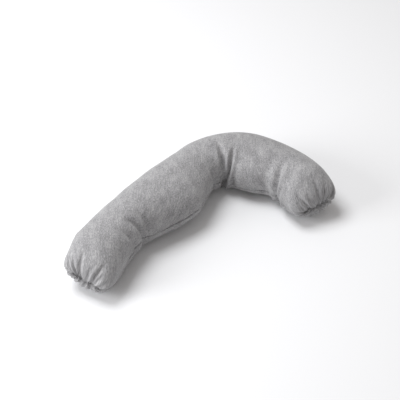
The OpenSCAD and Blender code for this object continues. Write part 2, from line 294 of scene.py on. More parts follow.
def drawn_in(grid, up):
    """How far the folds draw in each point of a panel, and how firmly they hold it."""
    stretch = np.linalg.norm(np.gradient(grid, axis=0), axis=2) / (MIDDLE_LENGTH / rows)
    girth = np.linalg.norm(np.gradient(grid, axis=1), axis=2) * columns
    depth = np.zeros(grid.shape[:2])
    hold = np.zeros(grid.shape[:2])
    for start, far_place, seam_place, deep, wide in FOLDS:
        start = start if up > 0 else 1 - (1 - start) * UNDER_FOLD
        run = np.clip((share - start) / (1 - start), 0, 1)
        bend = far_place - seam_place if up > 0 else 0
        centre = seam_place + bend * (1 - run)
        fade = smooth_step(run / FOLD_RUN_IN) * (1 - FOLD_EASE * run ** 3)
        aside = (along[:, None] - centre[None, :]) * stretch / wide
        valley = np.exp(-aside ** 2)
        ridge = np.exp(-((np.abs(aside) - RIDGE_PLACE) / RIDGE_WIDTH) ** 2)
        depth += deep * fade * (valley - FOLD_RIDGE * ridge)
        hold = np.maximum(hold, fade * np.exp(-(aside / FOLD_HOLD) ** 2))
    # Each gather differs a little from the next in reach, lean and depth.
    for gathers, end_distance in ((LEFT_GATHERS, along), (RIGHT_GATHERS, along[::-1])):
        for number, place in enumerate(gathers):
            reach = GATHER_REACH * (1 + 0.35 * math.sin(2.4 * number + up))
            fade = (1 - smooth_step(end_distance / reach))[:, None]
            lean = 0.5 * math.sin(1.7 * number + 0.6) * end_distance[:, None]
            girth_here = np.maximum(girth, LEAST_GIRTH)
            aside = ((share[None, :] - place) * girth_here - lean) / GATHER_WIDTH
            strong = 1 + 0.45 * math.sin(3.9 * number + 1.1)
            depth += GATHER_DEPTH * strong * fade * (np.exp(-aside ** 2) - GATHER_LIFT)
            hold = np.maximum(hold, GATHER_HOLD * fade * np.exp(-(aside / 0.6) ** 2))
    return depth, hold


# The panels share the grid points of their seam.
grid = np.arange((rows + 1) * (columns + 1)).reshape(rows + 1, columns + 1)
seam_line = np.zeros_like(grid, bool)
seam_line[0] = seam_line[-1] = True
seam_line[:, 0] = seam_line[:, -1] = True
under = np.where(seam_line, grid, grid + grid.size)
faces = []
for k in range(rows):
    for j in range(columns):
        faces.append((grid[k, j + 1], grid[k + 1, j + 1], grid[k + 1, j], grid[k, j]))
        faces.append((under[k, j], under[k + 1, j], under[k + 1, j + 1], under[k, j + 1]))
used = np.unique(np.array(faces))
number_of = -np.ones(2 * grid.size, int)
number_of[used] = np.arange(len(used))
faces = number_of[np.array(faces)]


def both_panels(upper, lower):
    """Values of the two grids as one list, one for each point of the mesh."""
    values = np.concatenate([upper.reshape(grid.size, -1), lower.reshape(grid.size, -1)])
    return values[used]


top_grid, under_grid = skin(1), skin(-1)
posed = both_panels(top_grid, under_grid)
cover_mesh = bpy.data.meshes.new("cover")
cover_mesh.from_pydata(posed.tolist(), [], faces.tolist())
cover = placed("cover", cover_mesh)

normals = np.zeros(posed.size)
cover_mesh.vertices.foreach_get("normal", normals)
normals = normals.reshape(-1, 3)
top_depth, top_hold = drawn_in(top_grid, 1)
under_depth, under_hold = drawn_in(under_grid, -1)
depth = both_panels(top_depth, under_depth)[:, 0]
hold = both_panels(top_hold, under_hold)[:, 0]
lumps = np.array([noise(Vector(point) / LUMP_SIZE) for point in posed])
drawn = posed - normals * (depth - LUMP * lumps)[:, None]

# The zip's arc on the back seam stays exactly where it is, and the underside stays flat.
on_zip = np.zeros(grid.shape)
on_zip[zip_rows, :3] = [1, 0.8, 0.4]
on_zip = both_panels(on_zip, on_zip)
resting = posed[:, 2] < RESTING_HEIGHT
drawn = drawn + (posed - drawn) * np.maximum(on_zip, resting[:, None])
drawn[:, 2] = np.maximum(drawn[:, 2], FLOOR_CLEARANCE)
hold = np.maximum.reduce([hold, on_zip[:, 0], resting * 1.0, np.full(len(hold), LEAST_HOLD)])

CLOTH_FRAMES = 22
CLOTH_PRESSURE = 4.0
CLOTH_CAP = 0.022
RELEASED = math.radians(10)
EASE = 1.012


def relax(obj, start, rest, weights):
    """Lets the mesh settle as cloth under pressure and returns its points."""
    group = obj.vertex_groups.new(name="held")
    for index, weight in enumerate(weights):
        group.add([index], float(weight), "REPLACE")
    obj.shape_key_add(name="posed")
    sewn = obj.shape_key_add(name="as_sewn")
    sewn.data.foreach_set("co", rest.ravel())
    cloth = obj.modifiers.new("cloth", "CLOTH")
    settings = cloth.settings
    settings.rest_shape_key = sewn
    settings.quality = 6
    settings.mass = 0.25
    settings.air_damping = 2.0
    settings.tension_stiffness = 25
    settings.compression_stiffness = 25
    settings.shear_stiffness = 8
    settings.bending_stiffness = 0.4
    settings.use_pressure = True
    settings.uniform_pressure_force = CLOTH_PRESSURE
    settings.effector_weights.gravity = 0
    settings.vertex_group_mass = "held"
    settings.pin_stiffness = 1.0
    cloth.collision_settings.use_collision = False
    cloth.point_cache.frame_start = 1
    cloth.point_cache.frame_end = CLOTH_FRAMES
    scene = bpy.context.scene
    for step in range(1, CLOTH_FRAMES + 1):
        scene.frame_set(step)
    settled = np.zeros(start.size)
    evaluated = obj.evaluated_get(bpy.context.evaluated_depsgraph_get())
    evaluated.data.vertices.foreach_get("co", settled)
    scene.frame_set(1)
    moved = settled.reshape(-1, 3) - start
    far = np.linalg.norm(moved, axis=1, keepdims=True)
    return start + moved * np.minimum(1, CLOTH_CAP / np.maximum(far, 1e-9))


settled = drawn
cover_mesh.vertices.foreach_set("co", drawn.ravel())
released = np.clip((along - LONG_ARM[0]) / WAIST[0], 0, 1) * RELEASED - RELEASED / 2
straighter = headings + released
rest = both_panels(
    skin(1, walk(straighter), straighter), skin(-1, walk(straighter), straighter))
settled = relax(cover, drawn, rest * EASE, hold)
settled[:, 2] = np.maximum(settled[:, 2], FLOOR_CLEARANCE)
bpy.data.objects.remove(cover)
top_grid = settled[number_of[grid]]
under_grid = settled[number_of[under]]


def refine(ring):
    """The same skin with a point halfway between each two, on a smooth curve."""
    mirror = -np.arange(ring.shape[1]) % ring.shape[1]
    ring = np.concatenate([ring[1:2, mirror], ring, ring[-2:-1, mirror]])
    half = (9 * (ring[1:-2] + ring[2:-1]) - ring[:-3] - ring[3:]) / 16
    longer = np.empty((2 * half.shape[0] + 1,) + ring.shape[1:])
    longer[0::2], longer[1::2] = ring[1:-1], half
    half = 9 * (longer + np.roll(longer, -1, 1)) - np.roll(longer, 1, 1)
    half = (half - np.roll(longer, -2, 1)) / 16
    denser = np.empty((longer.shape[0], 2 * longer.shape[1], 3))
    denser[:, 0::2], denser[:, 1::2] = longer, half
    return denser


def outward_of(ring):
    """Directions out of the tube at the points of a ring grid."""
    round_it = np.roll(ring, -1, 1) - np.roll(ring, 1, 1)
    mirror = -np.arange(ring.shape[1]) % ring.shape[1]
    longer = np.concatenate([ring[1:2, mirror], ring, ring[-2:-1, mirror]])
    normal = np.cross(round_it, longer[2:] - longer[:-2])
    return normal / np.maximum(np.linalg.norm(normal, axis=2, keepdims=True), 1e-9)


def halves(ring):
    """Upper and lower panel of a ring grid, both from the back seam to the hollow one."""
    middle = ring.shape[1] // 2
    return ring[:, :middle + 1], np.concatenate([ring[:, :1], ring[:, :middle - 1:-1]], 1)


def seam_distances(panel):
    """Distances over the cloth to the nearest seam and to the back seam."""
    lengthwise = np.linalg.norm(np.diff(panel, axis=0), axis=2)
    crosswise = np.linalg.norm(np.diff(panel, axis=1), axis=2)
    from_left = np.pad(np.cumsum(lengthwise, axis=0), ((1, 0), (0, 0)))
    from_back = np.pad(np.cumsum(crosswise, axis=1), ((0, 0), (1, 0)))
    to_end = np.minimum(from_left, from_left[-1:] - from_left)
    to_side = np.minimum(from_back, from_back[:, -1:] - from_back)
    return np.minimum(to_end, to_side), from_back


def grid_piece(name, points, flat, facing=1):
    """A sheet from a grid of points, with the cloth's flat layout in metres as its UVs."""
    numbers = np.arange(points.shape[0] * points.shape[1]).reshape(points.shape[:2])
    loop = [numbers[:-1, 1:], numbers[1:, 1:], numbers[1:, :-1], numbers[:-1, :-1]]
    quads = np.stack(loop[::facing], axis=2).reshape(-1, 4)
    mesh = bpy.data.meshes.new(name)
    mesh.from_pydata(points.reshape(-1, 3).tolist(), [], quads.tolist())
    layer = mesh.uv_layers.new(name="flat")
    layer.data.foreach_set("uv", flat.reshape(-1, 2)[quads.ravel()].ravel())
    mesh.polygons.foreach_set("use_smooth", [True] * len(quads))
    return placed(name, mesh)


def with_thickness(piece, thickness):
    """The same piece as cloth of a real thickness, laid on inwards."""
    wall = piece.modifiers.new("wall", "SOLIDIFY")
    wall.thickness = thickness
    wall.offset = -1
    return finished(piece)


def finished(piece):
    """The piece with its modifiers made into its mesh."""
    evaluated = piece.evaluated_get(bpy.context.evaluated_depsgraph_get())
    mesh = bpy.data.meshes.new_from_object(evaluated)
    piece.modifiers.clear()
    piece.data = mesh
    mesh.name = piece.name
    return piece


def bends_at_waist(piece):
    """Bakes the piece's place into its mesh."""
    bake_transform(piece)


WALE_HEADING = math.radians(66.8)
JERSEY_THICKNESS = 0.0007

ring = refine(np.concatenate([top_grid, under_grid[:, -2:0:-1]], axis=1))
outward = outward_of(ring)
fine_along = np.linspace(0, MIDDLE_LENGTH, len(ring))
fine_headings = heading_at(fine_along)
fine_line = np.stack([np.interp(fine_along, along, line[:, i]) for i in (0, 1)], axis=1)
fine_left = np.c_[-np.sin(fine_headings), np.cos(fine_headings)]


def flat_layout(from_back):
    """Where a panel's points lay on the cloth that it was cut from, turned to its wales."""
    aside = from_back[:, -1:] / 2 - from_back
    plan = fine_line[:, None, :] + fine_left[:, None, :] * aside[:, :, None]
    wale = np.array([math.cos(WALE_HEADING), math.sin(WALE_HEADING)])
    course = np.array([wale[1], -wale[0]])
    return np.stack([plan @ course, plan @ wale], axis=2)


# Seam: the panels' edges turn in along one fine groove, a little puckered by its thread,
# and part over the zip, where each edge is folded back along its tape.
GROOVE_DEPTH = 0.0048
GROOVE_WIDTH = 0.0028
PUCKER = 0.0026
PUCKER_SIZE = 0.011
PUCKER_REACH = 0.012
ZIP_LENGTH = 0.42
ZIP_GAP = 0.007
GAP_RUN_OUT = 0.02
GAP_FADE = 0.008
ZIP_BORDER = 0.03
EDGE_TUCK = 0.0004
EDGE_TUCK_REACH = 0.001
PANEL_CLEARANCE = 0.0004
BACK_RADIUS = LONG_ARM[0] / LONG_ARM[1] + HALF_WIDTH
ZIP_FROM = (LONG_ARM[1] * BACK_RADIUS - ZIP_LENGTH) / 2
ZIP_TO = ZIP_FROM + ZIP_LENGTH
back_arc = fine_along * BACK_RADIUS / (BACK_RADIUS - HALF_WIDTH)
parted = smooth_step((back_arc - ZIP_FROM) / GAP_RUN_OUT + 1)
parted *= smooth_step((ZIP_TO - back_arc) / GAP_RUN_OUT + 1.5)

panels = {}
for side, points, normal in zip((1, -1), halves(ring), halves(outward)):
    to_seam, from_back = seam_distances(points)
    near_zip = parted[:, None] * (from_back < ZIP_BORDER)
    wobble = np.array([noise(Vector(point) / PUCKER_SIZE) for point in points.reshape(-1, 3)])
    pucker = PUCKER * wobble.reshape(to_seam.shape) * np.exp(-(to_seam / PUCKER_REACH) ** 2)
    groove = GROOVE_DEPTH * np.exp(-(to_seam / GROOVE_WIDTH) ** 2)
    tucked = EDGE_TUCK * near_zip * (from_back < EDGE_TUCK_REACH)
    inwards = (groove - pucker) * (1 - near_zip) + tucked
    shaped = points - normal * inwards[:, :, None]
    shaped[:, :, 2] += side * ZIP_GAP / 2 * parted[:, None] * np.exp(-from_back / GAP_FADE)
    shaped[:, :, 2] = np.maximum(shaped[:, :, 2], PANEL_CLEARANCE)
    panels[side] = (shaped, normal, to_seam, from_back)


# Jersey: knitted from a melange of dark and light grey yarn, so its colour breaks up into
# short flecks along the wales, and softly brushed.
def link(tree, source, target):
    tree.links.new(source, target)


def math_node(tree, operation, first, second=0.0, third=0.0):
    node = tree.nodes.new("ShaderNodeMath")
    node.operation = operation
    for socket, value in zip(node.inputs, (first, second, third)):
        if isinstance(value, (int, float)):
            socket.default_value = value
        else:
            link(tree, value, socket)
    return node.outputs[0]


def noise_node(tree, vector, scale, detail=2.0, roughness=0.5):
    """Noise with its own size along each axis, in features to the metre."""
    stretch = tree.nodes.new("ShaderNodeVectorMath")
    stretch.operation = "MULTIPLY"
    link(tree, vector, stretch.inputs[0])
    stretch.inputs[1].default_value = scale
    node = tree.nodes.new("ShaderNodeTexNoise")
    link(tree, stretch.outputs[0], node.inputs["Vector"])
    node.inputs["Scale"].default_value = 1.0
    node.inputs["Detail"].default_value = detail
    node.inputs["Roughness"].default_value = roughness
    return node.outputs["Fac"]


def ramp_node(tree, factor, stops):
    node = tree.nodes.new("ShaderNodeValToRGB")
    while len(node.color_ramp.elements) < len(stops):
        node.color_ramp.elements.new(0.5)
    for element, (place, colour) in zip(node.color_ramp.elements, stops):
        element.position = place
        element.color = (*colour, 1)
    link(tree, factor, node.inputs["Fac"])
    return node.outputs["Color"]


def bump_node(tree, height, strength, distance):
    node = tree.nodes.new("ShaderNodeBump")
    node.inputs["Strength"].default_value = strength
    node.inputs["Distance"].default_value = distance
    link(tree, height, node.inputs["Height"])
    return node.outputs["Normal"]


def group_tree(name, inputs, outputs):
    tree = bpy.data.node_groups.new(name, "ShaderNodeTree")
    for socket, kind in inputs:
        tree.interface.new_socket(socket, in_out="INPUT", socket_type=kind)
    for socket, kind in outputs:
        tree.interface.new_socket(socket, in_out="OUTPUT", socket_type=kind)
    return tree, tree.nodes.new("NodeGroupInput"), tree.nodes.new("NodeGroupOutput")


knit, knit_in, knit_out = group_tree(
    "knitted_yarn",
    [("Layout", "NodeSocketVector"), ("Wale Width", "NodeSocketFloat"),
     ("Course Height", "NodeSocketFloat")],
    [("Melange", "NodeSocketFloat"), ("Mottle", "NodeSocketFloat"),
     ("Height", "NodeSocketFloat")])
layout = knit_in.outputs["Layout"]
apart = knit.nodes.new("ShaderNodeSeparateXYZ")
link(knit, layout, apart.inputs[0])
wale_place = math_node(knit, "DIVIDE", apart.outputs["X"], knit_in.outputs["Wale Width"])
wale_part = math_node(knit, "FRACT", wale_place)
slant = math_node(knit, "ABSOLUTE", math_node(knit, "SUBTRACT", wale_part, 0.5))
course_place = math_node(knit, "DIVIDE", apart.outputs["Y"], knit_in.outputs["Course Height"])
stitch_turn = math_node(knit, "MULTIPLY", math_node(knit, "ADD", course_place, slant), math.tau)
stitch_rise = math_node(knit, "SINE", stitch_turn)
wale_rise = math_node(knit, "SINE", math_node(knit, "MULTIPLY", wale_part, math.pi))
loops = math_node(knit, "MULTIPLY_ADD", stitch_rise, 0.3, wale_rise)
flecks = noise_node(knit, layout, (400, 150, 1), 3.0, 0.65)
fibres = noise_node(knit, layout, (1500, 420, 1), 2.0, 0.6)
streaks = noise_node(knit, layout, (230, 30, 1), 2.0, 0.5)
mixed = math_node(knit, "MULTIPLY_ADD", fibres, 0.30, math_node(knit, "MULTIPLY", flecks, 0.50))
mixed = math_node(knit, "MULTIPLY_ADD", streaks, 0.20, mixed)
link(knit, mixed, knit_out.inputs["Melange"])
link(knit, noise_node(knit, layout, (34, 20, 1), 3.0, 0.55), knit_out.inputs["Mottle"])
link(knit, math_node(knit, "MULTIPLY_ADD", fibres, 0.6, loops), knit_out.inputs["Height"])


def place_on_object(tree):
    """A point's place on its own object, in metres."""
    return tree.nodes.new("ShaderNodeTexCoord").outputs["Object"]


def layout_of(tree):
    """The flat layout of a cloth piece, in metres."""
    node = tree.nodes.new("ShaderNodeUVMap")
    node.uv_map = "flat"
    return node.outputs["UV"]


def jersey_material(name, shades, wale_width, bump):
    material, tree, shader = principled(name)
    yarn = tree.nodes.new("ShaderNodeGroup")
    yarn.node_tree = knit
    link(tree, layout_of(tree), yarn.inputs["Layout"])
    yarn.inputs["Wale Width"].default_value = wale_width
    yarn.inputs["Course Height"].default_value = wale_width * 0.8
    shade = math_node(tree, "MULTIPLY_ADD", yarn.outputs["Mottle"], 0.22, yarn.outputs["Melange"])
    link(tree, ramp_node(tree, shade, shades), shader.inputs["Base Color"])
    link(tree, bump_node(tree, yarn.outputs["Height"], bump, 0.0004), shader.inputs["Normal"])
    shader.inputs["Roughness"].default_value = 0.95
    shader.inputs["Specular IOR Level"].default_value = 0.25
    shader.inputs["Sheen Weight"].default_value = 0.30
    shader.inputs["Sheen Roughness"].default_value = 0.55
    return material


MELANGE_SHADES = [
    (0.44, (0.105, 0.104, 0.108)), (0.54, (0.205, 0.203, 0.210)),
    (0.64, (0.315, 0.312, 0.320)), (0.77, (0.50, 0.495, 0.50))]
jersey = jersey_material("jersey_melange", MELANGE_SHADES, wale_width=0.0013, bump=0.5)

for side, name in ((1, "cover_top_panel"), (-1, "cover_bottom_panel")):
    shaped, normal, to_seam, from_back = panels[side]
    piece = grid_piece(name + "_piece", shaped, flat_layout(from_back), side)
    piece.data.materials.append(jersey)
    with_thickness(piece, JERSEY_THICKNESS)
    bends_at_waist(piece)
    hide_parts(name)


# Seam thread: short running stitches lie at the bottom of the groove and draw the two
# panels together. They follow the seam all round, except along the zip.
def row_tree(name):
    """Sets copies of a small piece along a path, an even pitch apart and a little askew."""
    tree = bpy.data.node_groups.new(name, "GeometryNodeTree")
    for socket, kind in (
            ("Path", "NodeSocketGeometry"), ("Piece", "NodeSocketObject"),
            ("Pitch", "NodeSocketFloat"), ("Lean", "NodeSocketFloat"),
            ("Askew", "NodeSocketFloat"), ("Finish", "NodeSocketMaterial")):
        tree.interface.new_socket(socket, in_out="INPUT", socket_type=kind)
    tree.interface.new_socket("Row", in_out="OUTPUT", socket_type="NodeSocketGeometry")
    sizes = tree.nodes.new("NodeGroupInput")
    result = tree.nodes.new("NodeGroupOutput")
    curve = tree.nodes.new("GeometryNodeMeshToCurve")
    places = tree.nodes.new("GeometryNodeCurveToPoints")
    places.mode = "LENGTH"
    info = tree.nodes.new("GeometryNodeObjectInfo")
    random = tree.nodes.new("FunctionNodeRandomValue")
    random.data_type = "FLOAT_VECTOR"
    random.inputs["Seed"].default_value = 7
    spread = tree.nodes.new("ShaderNodeVectorMath")
    spread.operation = "SCALE"
    random.inputs["Min"].default_value = (-1, -1, -1)
    random.inputs["Max"].default_value = (1, 1, 1)
    tilt = tree.nodes.new("ShaderNodeCombineXYZ")
    total = tree.nodes.new("ShaderNodeVectorMath")
    turned = tree.nodes.new("FunctionNodeRotateRotation")
    turned.rotation_space = "LOCAL"
    euler = tree.nodes.new("FunctionNodeEulerToRotation")
    copies = tree.nodes.new("GeometryNodeInstanceOnPoints")
    realize = tree.nodes.new("GeometryNodeRealizeInstances")
    finish = tree.nodes.new("GeometryNodeSetMaterial")
    link(tree, sizes.outputs["Path"], curve.inputs["Mesh"])
    link(tree, curve.outputs["Curve"], places.inputs["Curve"])
    link(tree, sizes.outputs["Pitch"], places.inputs["Length"])
    link(tree, sizes.outputs["Piece"], info.inputs["Object"])
    link(tree, random.outputs["Value"], spread.inputs[0])
    link(tree, sizes.outputs["Askew"], spread.inputs["Scale"])
    link(tree, sizes.outputs["Lean"], tilt.inputs["X"])
    link(tree, spread.outputs["Vector"], total.inputs[0])
    link(tree, tilt.outputs["Vector"], total.inputs[1])
    link(tree, total.outputs["Vector"], euler.inputs["Euler"])
    link(tree, places.outputs["Rotation"], turned.inputs["Rotation"])
    link(tree, euler.outputs["Rotation"], turned.inputs["Rotate By"])
    link(tree, places.outputs["Points"], copies.inputs["Points"])
    link(tree, info.outputs["Geometry"], copies.inputs["Instance"])
    link(tree, turned.outputs["Rotation"], copies.inputs["Rotation"])
    link(tree, copies.outputs["Instances"], realize.inputs["Geometry"])
    link(tree, realize.outputs["Geometry"], finish.inputs["Geometry"])
    link(tree, sizes.outputs["Finish"], finish.inputs["Material"])
    link(tree, finish.outputs["Geometry"], result.inputs["Row"])
    return tree


even_row = row_tree("even_row")


def row_along(name, paths, unit, pitch, lean, askew, finish):
    """One plain mesh of copies of a unit along open paths, each a list of points."""
    mesh = bpy.data.meshes.new(name)
    points, edges = [], []
    for path in paths:
        edges += [(len(points) + i, len(points) + i + 1) for i in range(len(path) - 1)]
        points += [tuple(point) for point in path]
    mesh.from_pydata(points, edges, [])
    piece = placed(name, mesh)
    row = piece.modifiers.new("row", "NODES")
    row.node_group = even_row
    sockets = {item.name: item.identifier for item in even_row.interface.items_tree
               if item.in_out == "INPUT"}
    row[sockets["Piece"]] = unit
    row[sockets["Pitch"]] = pitch
    row[sockets["Lean"]] = lean
    row[sockets["Askew"]] = askew
    row[sockets["Finish"]] = finish
    finished(piece)
    bpy.data.objects.remove(unit)
    piece.data.polygons.foreach_set("use_smooth", [True] * len(piece.data.polygons))
    return piece


def stitch_unit(length, thickness):
    """A rounded stitch that lies along Z."""
    shape = bmesh.new()
    bmesh.ops.create_uvsphere(shape, u_segments=6, v_segments=5, radius=0.5)
    bmesh.ops.scale(shape, vec=(thickness, thickness, length), verts=shape.verts)
    mesh = bpy.data.meshes.new("stitch")
    shape.to_mesh(mesh)
    shape.free()
    return placed("stitch", mesh)


def ring_unit(width, height, wire, sides):
    """A closed loop of wire or thread: width along X, height along Y."""
    around = 4
    verts, loops = [], []
    for i in range(sides):
        turn = math.tau * i / sides
        for j in range(around):
            roll = math.tau * j / around
            out = wire / 2 * math.cos(roll)
            verts.append(((width / 2 - wire / 2 + out) * math.cos(turn),
                          (height / 2 - wire / 2 + out) * math.sin(turn),
                          wire / 2 * math.sin(roll)))
            following = (i + 1) % sides
            beside = (j + 1) % around
            loops.append((i * around + j, following * around + j,
                          following * around + beside, i * around + beside))
    mesh = bpy.data.meshes.new("loop")
    mesh.from_pydata(verts, [], loops)
    return placed("loop", mesh)


def thread_material(name, colour, twist):
    """Twisted sewing thread: fine diagonal ridges and a slight change of shade."""
    material, tree, shader = principled(name)
    place = place_on_object(tree)
    shade = noise_node(tree, place, (900, 900, 900), 2.0)
    darker = tuple(0.72 * part for part in colour)
    link(tree, ramp_node(tree, shade, [(0.35, darker), (0.65, colour)]),
         shader.inputs["Base Color"])
    ridges = noise_node(tree, place, (twist, twist, 3 * twist), 1.0)
    link(tree, bump_node(tree, ridges, 0.4, 0.0001), shader.inputs["Normal"])
    shader.inputs["Roughness"].default_value = 0.7
    shader.inputs["Sheen Weight"].default_value = 0.2
    return material


STITCH_LENGTH = 0.0026
STITCH_PITCH = 0.0034
THREAD = 0.00045
THREAD_SINK = 0.0002
CLOSED_BELOW = 0.02
seam_thread = thread_material("seam_thread", (0.20, 0.198, 0.205), 2500)
top_panel, top_normal = panels[1][0], panels[1][1]
seam_path = top_panel - top_normal * THREAD_SINK
closed_rows = parted < CLOSED_BELOW
left_rows = seam_path[:, 0][closed_rows & (fine_along < LONG_ARM[0] / 2)]
right_rows = seam_path[:, 0][closed_rows & (fine_along > LONG_ARM[0] / 2)]
round_seam = np.concatenate([
    left_rows[::-1], seam_path[0, 1:-1], seam_path[:, -1], seam_path[-1, -2:0:-1],
    right_rows[::-1]])
seam_stitches = row_along(
    "cover_seam_stitches", [round_seam], stitch_unit(STITCH_LENGTH, THREAD),
    pitch=STITCH_PITCH, lean=0.12, askew=0.08, finish=seam_thread)
bends_at_waist(seam_stitches)


# Seam allowance: the panels' edges lie together inside the cover, overlocked and pressed
# up against the top panel. It stops short of the zip, whose tapes take its place.
ALLOWANCE = 0.008
ALLOWANCE_THICKNESS = 0.0012
ALLOWANCE_DEPTH = 0.0018
ALLOWANCE_STEPS = 5
BACK_BAND = 0.02
ZIP_MARGIN = 0.01


def seam_loop(panel, normal):
    """The closed loop of a panel's edge, with the ways inwards and up along the panel."""
    last_row, last_column = panel.shape[0] - 1, panel.shape[1] - 1
    edge = [(k, last_column) for k in range(last_row + 1)]
    edge += [(last_row, j) for j in range(last_column - 1, 0, -1)]
    edge += [(k, 0) for k in range(last_row, -1, -1)] + [(0, j) for j in range(1, last_column)]
    reach = 4
    points, inward, along_panel = [], [], []
    for k, j in edge:
        k_in = min(max(k, reach), last_row - reach)
        j_in = min(max(j, reach), last_column - reach)
        step = panel[k_in, j_in] - panel[k, j]
        points.append(panel[k, j])
        inward.append(-normal[k_in, j_in])
        along_panel.append(step / max(np.linalg.norm(step), 1e-9))
    return np.array(points), np.array(inward), np.array(along_panel)


loop_points, loop_inward, loop_up = seam_loop(top_panel, top_normal)
loop_turn = np.array([math.atan2(-(x - hub[0]), y - hub[1]) for x, y, _ in loop_points])
loop_arc = (START_HEADING - loop_turn) * BACK_RADIUS
from_hub = np.hypot(loop_points[:, 0] - hub[0], loop_points[:, 1] - hub[1])
on_back = from_hub > BACK_RADIUS - BACK_BAND
beside_zip = on_back & (loop_arc > ZIP_FROM - ZIP_MARGIN) & (loop_arc < ZIP_TO + ZIP_MARGIN)
heights = np.linspace(0.0, ALLOWANCE, ALLOWANCE_STEPS)
strip = (loop_points + loop_inward * ALLOWANCE_DEPTH)[:, None, :] \
    + loop_up[:, None, :] * heights[None, :, None]
strip = np.concatenate([strip, strip[:1]])
length = np.r_[0, np.cumsum(np.linalg.norm(np.diff(strip[:, 0], axis=0), axis=1))]
strip_flat = np.dstack([np.repeat(length[:, None], ALLOWANCE_STEPS, 1),
                        np.repeat(heights[None, :], len(strip), 0)])
first = int(np.argmax(beside_zip))
last = len(beside_zip) - int(np.argmax(beside_zip[::-1]))
order = list(range(last, len(beside_zip))) + list(range(0, first))
allowance = grid_piece("cover_seam_allowance_piece", strip[order], strip_flat[order], -1)
EDGE_SHADES = [(0.42, (0.10, 0.10, 0.105)), (0.62, (0.26, 0.26, 0.27)), (0.8, (0.42, 0.42, 0.43))]
overlocked = jersey_material("seam_overlock", EDGE_SHADES, wale_width=0.0022, bump=0.9)
allowance.data.materials.append(overlocked)
with_thickness(allowance, ALLOWANCE_THICKNESS)
bends_at_waist(allowance)
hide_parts("cover_seam_allowance")


# Care label: a strip of white satin ribbon folded double, its two ends caught in the outer
# seam past the closed end of the zip, and its fold hanging free. It is blank.
LABEL_LENGTH = 0.030
LABEL_DROP = 0.0215
LABEL_START = 0.040
LABEL_THICKNESS = 0.00025
LABEL_ROOT = 0.0042
LABEL_RIPPLE = 0.0007


def back_point(arc, out, up):
    """A point by its distance along the back seam, outwards from it and above it."""
    turn = START_HEADING - arc / BACK_RADIUS
    radius = BACK_RADIUS + out
    return np.array([hub[0] - radius * math.sin(turn), hub[1] + radius * math.cos(turn),
                     SEAM_Z + up])


def label_path():
    """The folded ribbon's section, from one end in the seam round the fold to the other."""
    over = [(-LABEL_ROOT, 0.0003), (-0.0015, 0.0004), (0.0004, 0.0002), (0.0017, -0.0009),
            (0.0021, -0.0030), (0.0019, -0.0070), (0.0013, -0.0125), (0.0012, -0.0175)]
    fold = [(0.0013, -LABEL_DROP + 0.0006), (0.0007, -LABEL_DROP), (0.0001, -LABEL_DROP + 0.0006)]
    back = [(0.0001, -0.0175), (0.0002, -0.0125), (0.0007, -0.0070), (0.0009, -0.0032),
            (0.0006, -0.0014), (-0.0004, -0.0005), (-0.0018, -0.0003), (-LABEL_ROOT, -0.0002)]
    path = np.array(over + fold + back)
    length = np.r_[0, np.cumsum(np.hypot(*np.diff(path, axis=0).T))]
    places = np.linspace(0, length[-1], 60)
    return np.c_[np.interp(places, length, path[:, 0]), np.interp(places, length, path[:, 1])], \
        places


def woven_group(name):
    """Plain weave: threads that pass over and under each other along both ways."""
    tree, weave_in, weave_out = group_tree(
        name,
        [("Layout", "NodeSocketVector"), ("Thread Width", "NodeSocketFloat")],
        [("Height", "NodeSocketFloat"), ("Slub", "NodeSocketFloat")])
    split = tree.nodes.new("ShaderNodeSeparateXYZ")
    link(tree, weave_in.outputs["Layout"], split.inputs[0])
    waves = []
    for axis in ("X", "Y"):
        place = math_node(tree, "DIVIDE", split.outputs[axis], weave_in.outputs["Thread Width"])
        waves.append(math_node(tree, "SINE", math_node(tree, "MULTIPLY", place, math.pi)))
    over_under = math_node(tree, "MULTIPLY", waves[0], waves[1])
    ridges = math_node(tree, "SUBTRACT", math_node(tree, "ABSOLUTE", waves[0]),
                       math_node(tree, "ABSOLUTE", waves[1]))
    slub = noise_node(tree, weave_in.outputs["Layout"], (260, 90, 1), 3.0, 0.6)
    crossed = math_node(tree, "MULTIPLY_ADD", over_under, 0.6,
                        math_node(tree, "MULTIPLY", ridges, 0.3))
    link(tree, math_node(tree, "MULTIPLY_ADD", slub, 0.4, crossed), weave_out.inputs["Height"])
    link(tree, slub, weave_out.inputs["Slub"])
    return tree


plain_weave = woven_group("plain_weave")


def woven_material(name, shades, thread_width, bump, roughness, sheen):
    material, tree, shader = principled(name)
    weave = tree.nodes.new("ShaderNodeGroup")
    weave.node_tree = plain_weave
    link(tree, layout_of(tree), weave.inputs["Layout"])
    weave.inputs["Thread Width"].default_value = thread_width
    # The colour follows the slub's random tone, and a little of the weave's height as well, which
    # darkens the low places between the threads: painted shade.
    shade = math_node(tree, "MULTIPLY_ADD", weave.outputs["Height"], 0.12, weave.outputs["Slub"])
    link(tree, ramp_node(tree, shade, shades), shader.inputs["Base Color"])
    link(tree, bump_node(tree, weave.outputs["Height"], bump, 0.0002), shader.inputs["Normal"])
    shader.inputs["Roughness"].default_value = roughness
    shader.inputs["Sheen Weight"].default_value = sheen
    return material


section_path, section_length = label_path()
label_columns = np.linspace(0, LABEL_LENGTH, 26)
label_points = np.array([
    [back_point(ZIP_TO + LABEL_START + a,
                out + LABEL_RIPPLE * (-up / LABEL_DROP) * (1 + math.sin(170 * a + 0.8)), up)
     for out, up in section_path] for a in label_columns])
label_flat = np.dstack([np.repeat(label_columns[:, None], len(section_length), 1),
                        np.repeat(section_length[None, :], len(label_columns), 0)])
label = grid_piece("care_label_piece", label_points, label_flat, -1)
label.data.materials.append(woven_material(
    "label_satin", [(0.3, (0.80, 0.80, 0.77)), (0.7, (0.90, 0.90, 0.88))],
    thread_width=0.00028, bump=0.35, roughness=0.38, sheen=0.3))
with_thickness(label, LABEL_THICKNESS)
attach(label, "long_arm")
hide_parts("care_label")


